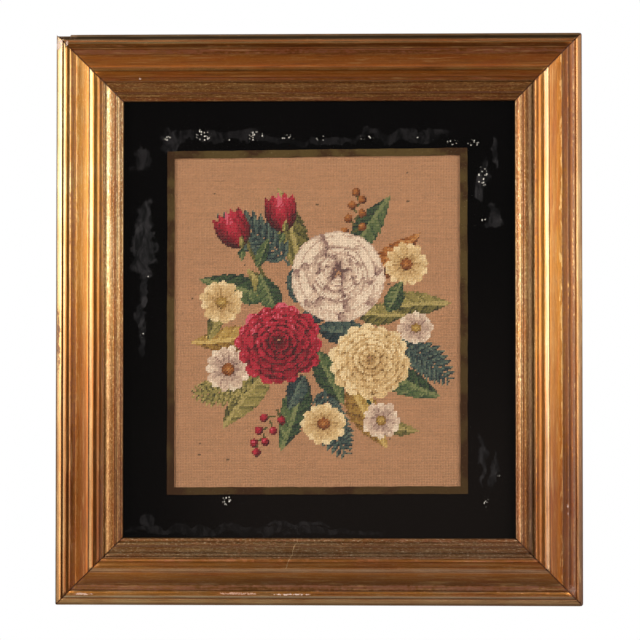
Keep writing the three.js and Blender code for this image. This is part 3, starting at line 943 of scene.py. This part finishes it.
def tulip(x, y, angle, size, name):
    outer = ((-1, 0.46, 0.2, 2.2), (1, 0.46, 0, 1.6))
    inner = ((-0.45, 0.5, 0.6, 3), (0.5, 0.44, 0.4, 2.4), (0, 0.36, 1, 3.8))
    for side, wide, low, high in outer + inner:
        petal(x, y, angle + side * 21, size, size * wide, name, low, high, cup=0.4, tip=0.86, point=0.95)
    leaf(x, y, angle + 150, size * 0.3, size * 0.2, "green", veins=2)
    leaf(x, y, angle - 20, size * 0.34, size * 0.16, "olive", veins=2)


def berries(x, y, angle, name, leafage):
    turn = math.radians(angle)
    for place in range(7):
        reach, aside = 6 + 4.2 * place, 5.5 * (-1) ** place * (1 - place / 9)
        px = x + reach * math.cos(turn) - aside * math.sin(turn)
        py = y + reach * math.sin(turn) + aside * math.cos(turn)
        foot = (x + (reach - 4) * math.cos(turn), y + (reach - 4) * math.sin(turn))
        stem([foot, (px, py)], leafage, 0.7, 1)
        distance = np.hypot(across - px, up - py) / 2.7
        work(distance < 1, name, 3.8 - 2.6 * np.hypot(across - px + 0.9, up - py - 0.9) / 2.7)


def work_bouquet():
    """Works the bouquet from its outer leaves to the blooms in front of them."""
    for plan in (
        (-10, 30, 100, 56, 20, "olive", 0.5), (22, 42, 64, 44, 18, "green", -0.6, 6, -1),
        (-30, 14, 158, 46, 19, "green", 0.5), (-34, -8, 192, 46, 18, "gold", -0.5, 6, -1),
        (-28, -28, 224, 50, 21, "olive", 0.6), (-8, -34, 258, 50, 20, "green", -0.5, 6, -1),
        (20, -38, 294, 48, 21, "gold", 0.5), (38, -28, 328, 44, 19, "green", 0.5, 6, -1),
        (38, 8, 10, 46, 18, "olive", -0.5), (30, 26, 36, 46, 18, "rust", 0.4),
    ):
        leaf(*plan)
    for plan in (
        (-18, 36, 128, 50, "teal", 0.35), (46, -14, -14, 42, "teal", -0.3),
        (-40, -34, 214, 38, "olive", -0.3), (4, -40, 276, 44, "teal", 0.2),
    ):
        fern(*plan)
    berries(22, 50, 82, "rust", "olive")
    berries(-24, -54, 240, "crimson", "olive")
    stem([(-18, 4), (-32, 26), (-42, 44), (-46, 58)], "olive", 1.1)
    leaf(-22, 8, 128, 34, 14, "olive", 0.3)
    leaf(-38, 34, 66, 20, 8, "green", 0.2, veins=3)
    stem([(-14, 36), (-20, 62)], "olive", 1.1)
    tulip(-47, 46, 116, 26, "crimson")
    tulip(-21, 56, 98, 25, "crimson")
    stem([(26, -40), (40, -62), (42, -70)], "green", 1.1)
    leaf(42, -66, 350, 22, 9, "olive", 0.3, veins=3)
    leaf(-60, 8, 244, 22, 10, "olive", 0.3, veins=3)
    for plan in (
        (56, 36, 14, "cream", "rust", 14), (-60, 12, 14, "cream", "gold", 13),
        (62, -4, 12, "blush", "gold", 12, 0.85), (-56, -30, 15, "blush", "rust", 14),
        (4, -64, 15, "cream", "rust", 14, 0.9), (40, -62, 12, "blush", "gold", 12),
    ):
        daisy(*plan)
    for plan in (
        (-14, 12, 74, 30, 18, "teal", 0.3), (-26, 6, 108, 26, 16, "green", 0.3),
        (-8, 0, 40, 26, 17, "teal", 0.3), (0, -18, 292, 38, 18, "green", 0.3),
        (0, -4, 350, 36, 18, "teal", 0.3), (24, 6, 352, 32, 15, "olive", 0.3),
        (44, 6, 60, 22, 13, "green", 0.3), (-8, -34, 240, 24, 14, "teal", 0.3),
    ):
        leaf(*plan)
    peony(13, 28, 29, "blush")
    dahlia(33, -25, 26, "cream", low=0.6, high=3.7)
    dahlia(-24, -14, 28, "crimson", count=16, low=0.1, high=3.0)


def daylight(colour):
    """A colour from 0 to 255, as light."""
    value = np.asarray(colour, float) / 255
    return np.where(value <= 0.04045, value / 12.92, ((value + 0.055) / 1.055) ** 2.4)


def stitch_colours():
    """The colour of every stitch: the chart's yarns, each strand a little lighter or darker than the next."""
    colours = np.tile(daylight(GROUND), (ROWS, COLUMNS, 1))
    rows = np.repeat(chance.normal(0, 0.022, (ROWS, 1)), COLUMNS, 1)
    strands = chance.normal(0, 0.03, (ROWS, COLUMNS // STRAND_STITCHES))
    strands = np.kron(strands, np.ones((1, STRAND_STITCHES)))[:, :COLUMNS]
    # Painted light falloff: the ground is painted a little lighter towards the top and darker towards the
    # bottom.
    ground_light_falloff = 0.05 * up / ROWS
    colours *= (1 + rows + strands + ground_light_falloff)[:, :, None]
    for index, name in enumerate(FAMILIES):
        for level, yarn in enumerate(YARNS[name]):
            colours[(family == index) & (shade == level)] = daylight(yarn)
    for _ in range(DARK_FLECKS):
        row, column = int(chance.integers(8, ROWS - 8)), int(chance.integers(6, COLUMNS - 6))
        if family[row, column] < 0:
            colours[row, column : column + int(chance.integers(1, 3))] *= 0.25
    return colours * (1 + chance.normal(0, 0.05, (ROWS, COLUMNS)))[:, :, None]


# One stitch, in millimetres: two rings round the yarn, and an end in a hole of the canvas at each side.
STITCH_LENGTH_MM = INCH_MM / STITCHES_PER_INCH * math.sqrt(2) * 1.04
STITCH_WIDTH_MM = 1.36
STITCH_HEIGHT_MM = 1.12
STITCH_END_HEIGHT_MM = 0.18
RING_PLACE = 0.24
RING = [(0.0, 1.0), (0.5, 0.52), (0.34, 0.0), (-0.34, 0.0), (-0.5, 0.52)]
RING_POINTS = len(RING)
STITCH_POINTS = 2 * RING_POINTS + 2


def stitch_shape():
    """The points of one stitch, as along, across and height in millimetres, and its faces."""
    points = [(-STITCH_LENGTH_MM / 2, 0, STITCH_END_HEIGHT_MM)]
    for place in (-RING_PLACE, RING_PLACE):
        points += [(place * STITCH_LENGTH_MM, a * STITCH_WIDTH_MM, h * STITCH_HEIGHT_MM) for a, h in RING]
    points.append((STITCH_LENGTH_MM / 2, 0, STITCH_END_HEIGHT_MM))
    first = [1 + k for k in range(RING_POINTS)]
    second = [RING_POINTS + k for k in first]
    following = [(k + 1) % RING_POINTS for k in range(RING_POINTS)]
    caps = [(0, first[k], first[after]) for k, after in enumerate(following)]
    caps += [(STITCH_POINTS - 1, second[after], second[k]) for k, after in enumerate(following)]
    sides = [(first[k], second[k], second[after], first[after]) for k, after in enumerate(following)]
    return np.array(points), caps, sides


def stitches(name, mask, colours, finish, canvas_front):
    """Many tent stitches as one joined mesh, each one slanting up to the right over one crossing."""
    shape, caps, sides = stitch_shape()
    rows, columns = np.nonzero(mask)
    many = len(rows)
    lean = math.radians(45) + chance.normal(0, 0.05, many)
    swell = 1 + chance.normal(0, 0.045, (many, 1))
    direction = np.stack([np.cos(lean), np.sin(lean)], 1)[:, None, :]
    aside = np.stack([-np.sin(lean), np.cos(lean)], 1)[:, None, :]
    flat = shape[None, :, 0:1] * direction + shape[None, :, 1:2] * swell[:, :, None] * aside
    centre_x = MIDDLE.x + CHART_CENTRE[0] * MM + across[rows, columns] * STITCH_PITCH
    centre_z = MIDDLE.z + CHART_CENTRE[1] * MM + up[rows, columns] * STITCH_PITCH
    places = np.zeros((many, STITCH_POINTS, 3))
    places[:, :, 0] = centre_x[:, None] + flat[:, :, 0] * MM
    places[:, :, 2] = centre_z[:, None] + flat[:, :, 1] * MM
    places[:, :, 1] = canvas_front - shape[None, :, 2] * np.minimum(swell, 1.06) * MM

    loops = [index for face in caps + sides for index in face]
    sizes = [len(face) for face in caps + sides]
    first = np.arange(many)[:, None] * STITCH_POINTS
    corner_points = (first + np.array(loops)[None]).ravel()
    face_sizes = np.tile(sizes, many)
    mesh = bpy.data.meshes.new(name)
    mesh.vertices.add(many * STITCH_POINTS)
    mesh.vertices.foreach_set("co", places.astype(np.float32).ravel())
    mesh.loops.add(len(corner_points))
    mesh.loops.foreach_set("vertex_index", corner_points.astype(np.int32))
    mesh.polygons.add(len(face_sizes))
    mesh.polygons.foreach_set("loop_start", (np.cumsum(face_sizes) - face_sizes).astype(np.int32))
    mesh.polygons.foreach_set("use_smooth", np.ones(len(face_sizes), bool))
    mesh.update(calc_edges=True)
    layer = mesh.color_attributes.new("yarn", "FLOAT_COLOR", "POINT")
    tint = np.ones((many, STITCH_POINTS, 4), np.float32)
    tint[:, :, :3] = np.clip(colours[rows, columns], 0, 1)[:, None, :]
    layer.data.foreach_set("color", tint.ravel())
    piece = bpy.data.objects.new(name, mesh)
    bpy.context.scene.collection.objects.link(piece)
    set_attribute(piece, "yarn_run", np.tile(shape * MM, (many, 1)))
    piece.data.materials.append(finish)
    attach(piece, "root")
    return piece


def wool():
    """Matte wool: each stitch in its yarn's colour, its two plies twisted, with a little fuzz."""
    make = Finish("wool yarn")
    yarn = make.attribute("yarn", "Color")
    run = make.attribute("yarn_run", "Vector")
    place = make.object_place()
    fuzz = make.noise(place, 2600, 3)
    shadow = make.mixed(make.step(fuzz, 0.3, 0.7, 0.16, 0), yarn, (0.02, 0.015, 0.012, 1))
    lengthways, sideways, _ = make.parts(run)
    slant = make.add("Math", {0: sideways, 1: 0.9, 2: lengthways}, operation="MULTIPLY_ADD")
    plies = make.maths("SINE", make.times(slant.outputs[0], 2 * math.pi / PLY_TURN))
    relief = make.plus(make.times(plies, 0.35), fuzz)
    bump = make.bump(0.55, 0.00012, relief)
    return make.done({
        "Base Color": shadow,
        "Normal": bump,
        "Roughness": 0.92,
        "Specular IOR Level": 0.15,
        "Sheen Weight": 0.12,
        "Sheen Roughness": 0.5,
    })


def canvas_cloth():
    """Coarse linen canvas: threads crossing at the pitch of the stitches."""
    make = Finish("linen canvas")
    place = make.object_place()
    to_right, _, height = make.parts(place)
    turn = 2 * math.pi / STITCH_PITCH
    warp = make.maths("SINE", make.times(to_right, turn))
    weft = make.maths("SINE", make.times(height, turn))
    threads = make.highest(warp, weft)
    colour = make.mixed(make.step(threads, -0.3, 0.8), (0.10, 0.062, 0.036, 1), (0.34, 0.235, 0.15, 1))
    colour = make.mixed(make.step(make.noise(place, 40, 4), 0.4, 0.7, 0, 0.3), colour, (0.16, 0.10, 0.06, 1))
    bump = make.bump(0.6, 0.0003, threads)
    return make.done({"Base Color": colour, "Normal": bump, "Roughness": 0.95})


CLOTH_THICKNESS_MM = 1.1


def build_needlework():
    low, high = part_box("needlework")
    width, tall = high.x - low.x, high.z - low.z
    cloth_thickness = CLOTH_THICKNESS_MM * MM
    bpy.ops.object.select_all(action="DESELECT")
    centre = ((low.x + high.x) / 2, high.y - cloth_thickness / 2, (low.z + high.z) / 2)
    turned = (math.pi / 2, 0, 0)
    cells = {"x_subdivisions": 43, "y_subdivisions": 48}
    bpy.ops.mesh.primitive_grid_add(**cells, size=1, location=centre, rotation=turned)
    canvas = bpy.context.active_object
    canvas.name = "canvas"
    bpy.ops.transform.resize(value=(width, 1, tall))
    bpy.ops.object.transform_apply(location=True, rotation=True, scale=True)
    thick = canvas.modifiers.new("cloth thickness", "SOLIDIFY")
    thick.thickness = cloth_thickness
    thick.offset = 0
    bpy.ops.object.modifier_apply(modifier=thick.name)
    canvas.data.materials.append(canvas_cloth())
    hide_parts("needlework")
    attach(canvas, "root")

    work_bouquet()
    colours = stitch_colours()
    finish = wool()
    canvas_front = high.y - cloth_thickness
    ground = family < 0
    third = np.digitize(up, [-ROWS / 6, ROWS / 6])
    thirds = enumerate(("low", "middle", "high"))
    plan = [(f"ground_stitches_{name}", ground & (third == place)) for place, name in thirds]
    groups = {
        "red_stitches": ["crimson", "rust"],
        "white_stitches": ["blush"],
        "yellow_stitches": ["cream", "gold"],
        "leaf_stitches": ["olive", "green", "teal"],
    }
    for name, names in groups.items():
        plan.append((name, np.isin(family, [FAMILIES.index(each) for each in names])))
    worked = [stitches(name, mask, colours, finish, canvas_front) for name, mask in plan]


def build_board():
    board = nodes["backing_board"]
    board.data.materials.clear()
    wood = plain_wood("backing board wood", (0.16, 0.09, 0.045, 1), (0.33, 0.21, 0.12, 1), 2)
    board.data.materials.append(wood)


def softbox(name, place, width, tall, power, colour):
    """A large soft light that faces the middle of the picture."""
    bpy.ops.object.light_add(type="AREA", location=place)
    light = bpy.context.active_object
    light.name = name
    light.data.shape = "RECTANGLE"
    light.data.size = width
    light.data.size_y = tall
    light.data.energy = power
    light.data.color = colour
    light.rotation_mode = "QUATERNION"
    light.rotation_quaternion = (Vector(place) - MIDDLE).to_track_quat("Z", "Y")


def build_studio():
    bpy.ops.mesh.primitive_plane_add(size=5, location=(0, 0, frame_low.z - 1.1))
    floor = bpy.context.active_object
    floor.name = "floor"
    pale = Finish("pale floor").done({"Base Color": (0.80, 0.79, 0.77, 1), "Roughness": 0.7})
    floor.data.materials.append(pale)

    for side, place, width, power, fill, colour in (
        ("left", -1.95, 2.6, 67, 80, (1.0, 0.98, 0.95)),
        ("right", 1.95, 2.5, 66, 78, (1.0, 0.97, 0.93)),
    ):
        softbox(f"{side}_softbox", (place, -1.05, MIDDLE.z + 0.3), width, 1.8, power, colour)
        softbox(f"{side}_fill", (place, -1.05, MIDDLE.z + 0.3), width, 1.8, fill, colour)

    world = bpy.data.worlds.new("studio")
    bpy.context.scene.world = world
    world.use_nodes = True
    make = Nodes(world.node_tree)
    seen = make.add("LightPath").outputs["Is Camera Ray"]
    colour = make.mixed(seen, (0.035, 0.034, 0.033, 1), (1.0, 1.0, 1.0, 1))
    backdrop = make.add("Background", {"Color": colour, "Strength": 1.0})
    make.add("OutputWorld", {"Surface": backdrop.outputs[0]})
    bpy.context.scene.view_settings.view_transform = "Standard"


def build_camera():
    bpy.ops.object.camera_add()
    camera = bpy.context.active_object
    camera.name = "camera"
    back = Vector(
        (
            math.sin(CAMERA_AZIMUTH) * math.cos(CAMERA_ELEVATION),
            -math.cos(CAMERA_AZIMUTH) * math.cos(CAMERA_ELEVATION),
            math.sin(CAMERA_ELEVATION),
        )
    )
    camera.location = MIDDLE + back * CAMERA_DISTANCE
    camera.rotation_mode = "QUATERNION"
    camera.rotation_quaternion = (-back).to_track_quat("-Z", "Y")
    camera.data.lens = CAMERA_LENS_MM
    camera.data.sensor_width = 36
    camera.data.shift_x, camera.data.shift_y = CAMERA_SHIFT
    camera.data.clip_start, camera.data.clip_end = 0.05, 50
    bpy.context.scene.camera = camera


def share_light():
    """The pane mirrors no softbox, as under a polarising filter.
    The fill light is for what lies behind it."""
    pane_apart = bpy.data.collections.new("pane_apart")
    pane_apart.objects.link(nodes["glass_pane"])
    pane_apart.collection_objects[0].light_linking.link_state = "EXCLUDE"
    behind = bpy.data.collections.new("behind_the_pane")
    for piece in bpy.context.scene.objects:
        if piece.name in ("canvas", "painted_border_coat", "gilt_band_coat") or "stitches" in piece.name:
            behind.objects.link(piece)
    for side in ("left", "right"):
        bpy.data.objects[f"{side}_softbox"].light_linking.receiver_collection = pane_apart
        bpy.data.objects[f"{side}_fill"].light_linking.receiver_collection = behind


build_camera()
build_studio()
build_frame()
build_glass()
hand_painted("painted_border", "painted_border_coat", border_paint(), 1.2, 0.3)
hand_painted("gilt_band", "gilt_band_coat", band_paint(), 0.0, 0.45, 0.45)
build_needlework()
build_board()
share_light()
